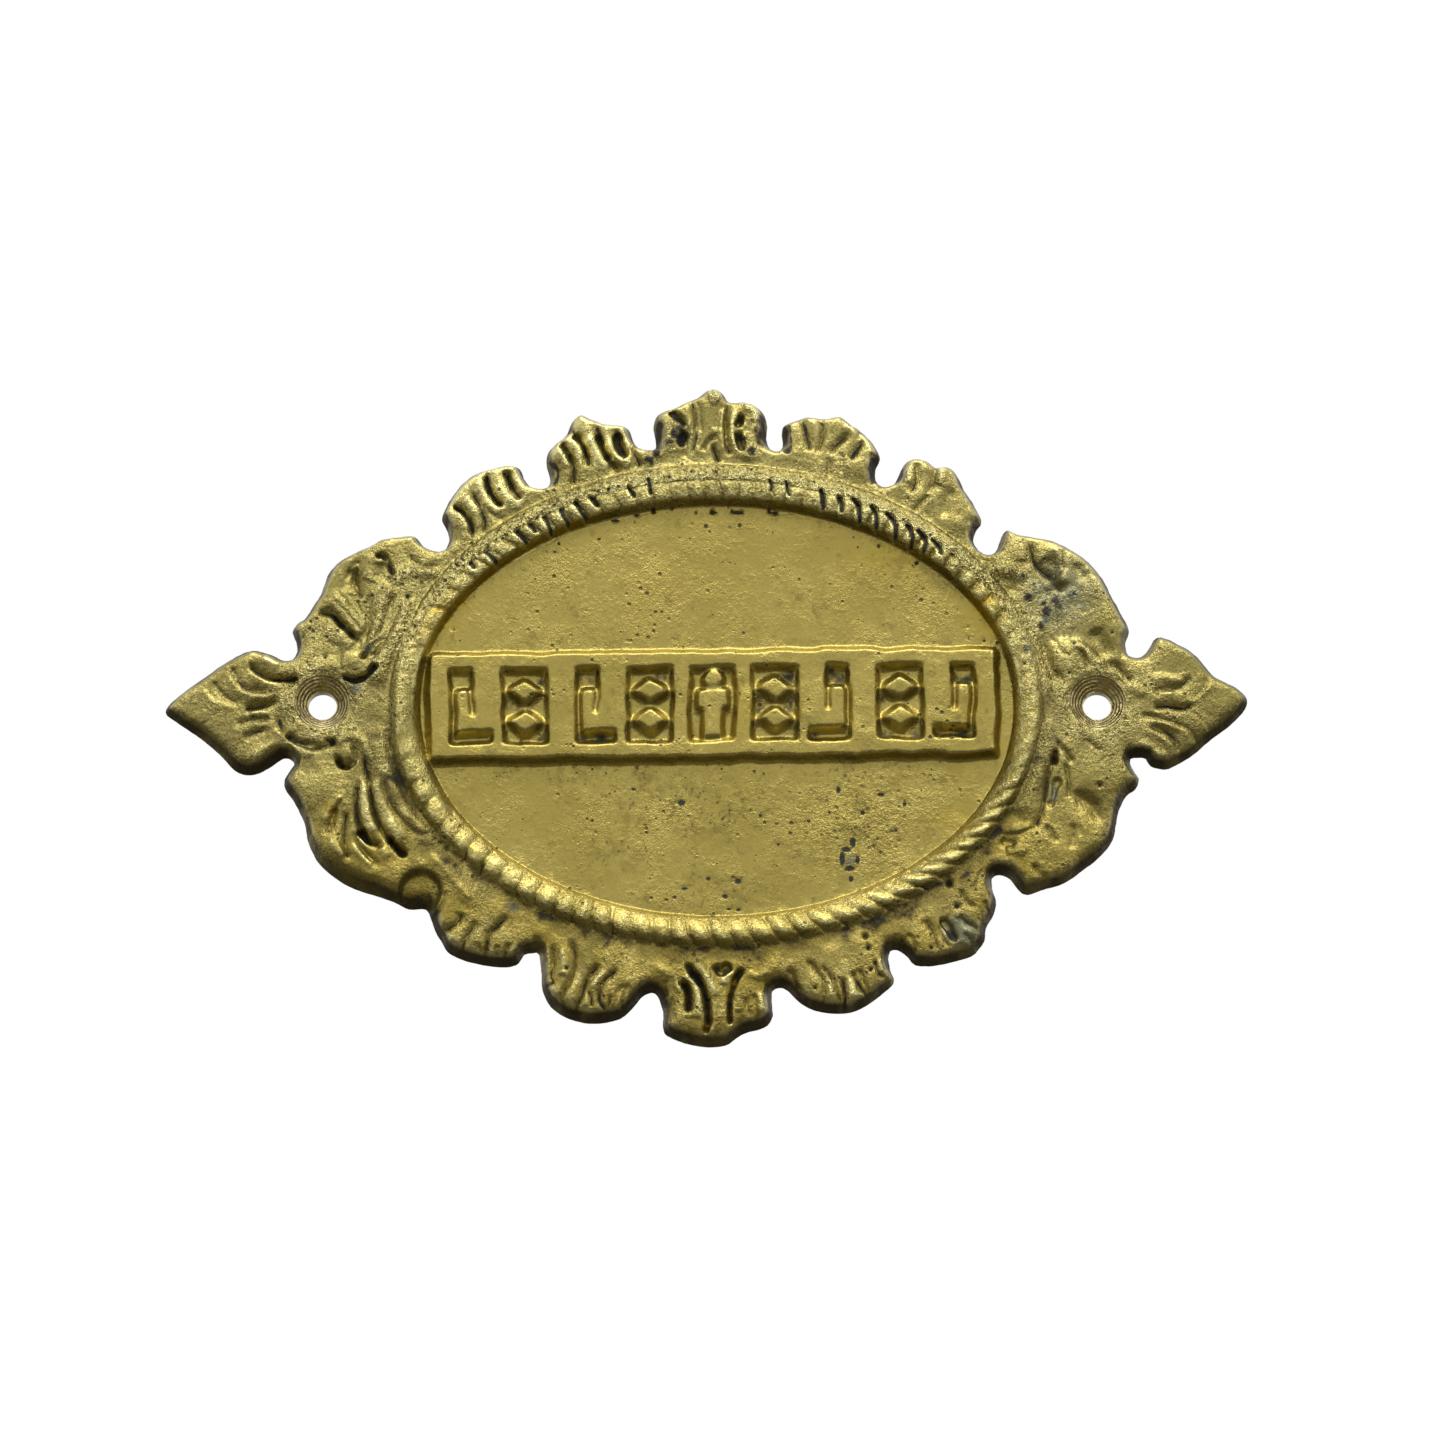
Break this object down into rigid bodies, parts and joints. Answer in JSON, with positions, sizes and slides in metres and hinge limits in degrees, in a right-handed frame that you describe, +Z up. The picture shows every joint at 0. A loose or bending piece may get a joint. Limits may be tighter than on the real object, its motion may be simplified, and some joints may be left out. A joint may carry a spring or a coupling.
{
  "type": "door sign plate",
  "caption": "Cast brass door sign plate: an oval rope-edged field with a raised strip of key ornament, set in a border of reeded leaf lobes with a countersunk screw hole at each side.",
  "frame": {"origin": "middle of the plate on its flat back face, which lies against the door", "axes": "+X to the right along the plate's length, +Z up, -Y out of the ornamented front; the back faces +Y"},
  "size_m": [0.18, 0.0065, 0.114],
  "materials": {
    "brass": "sand-cast brass, rubbed on the raised faces, dark oxide in the recesses"
  },
  "bodies": {
    "root": {"sign_plate": "brass"}
  },
  "joints": []
}
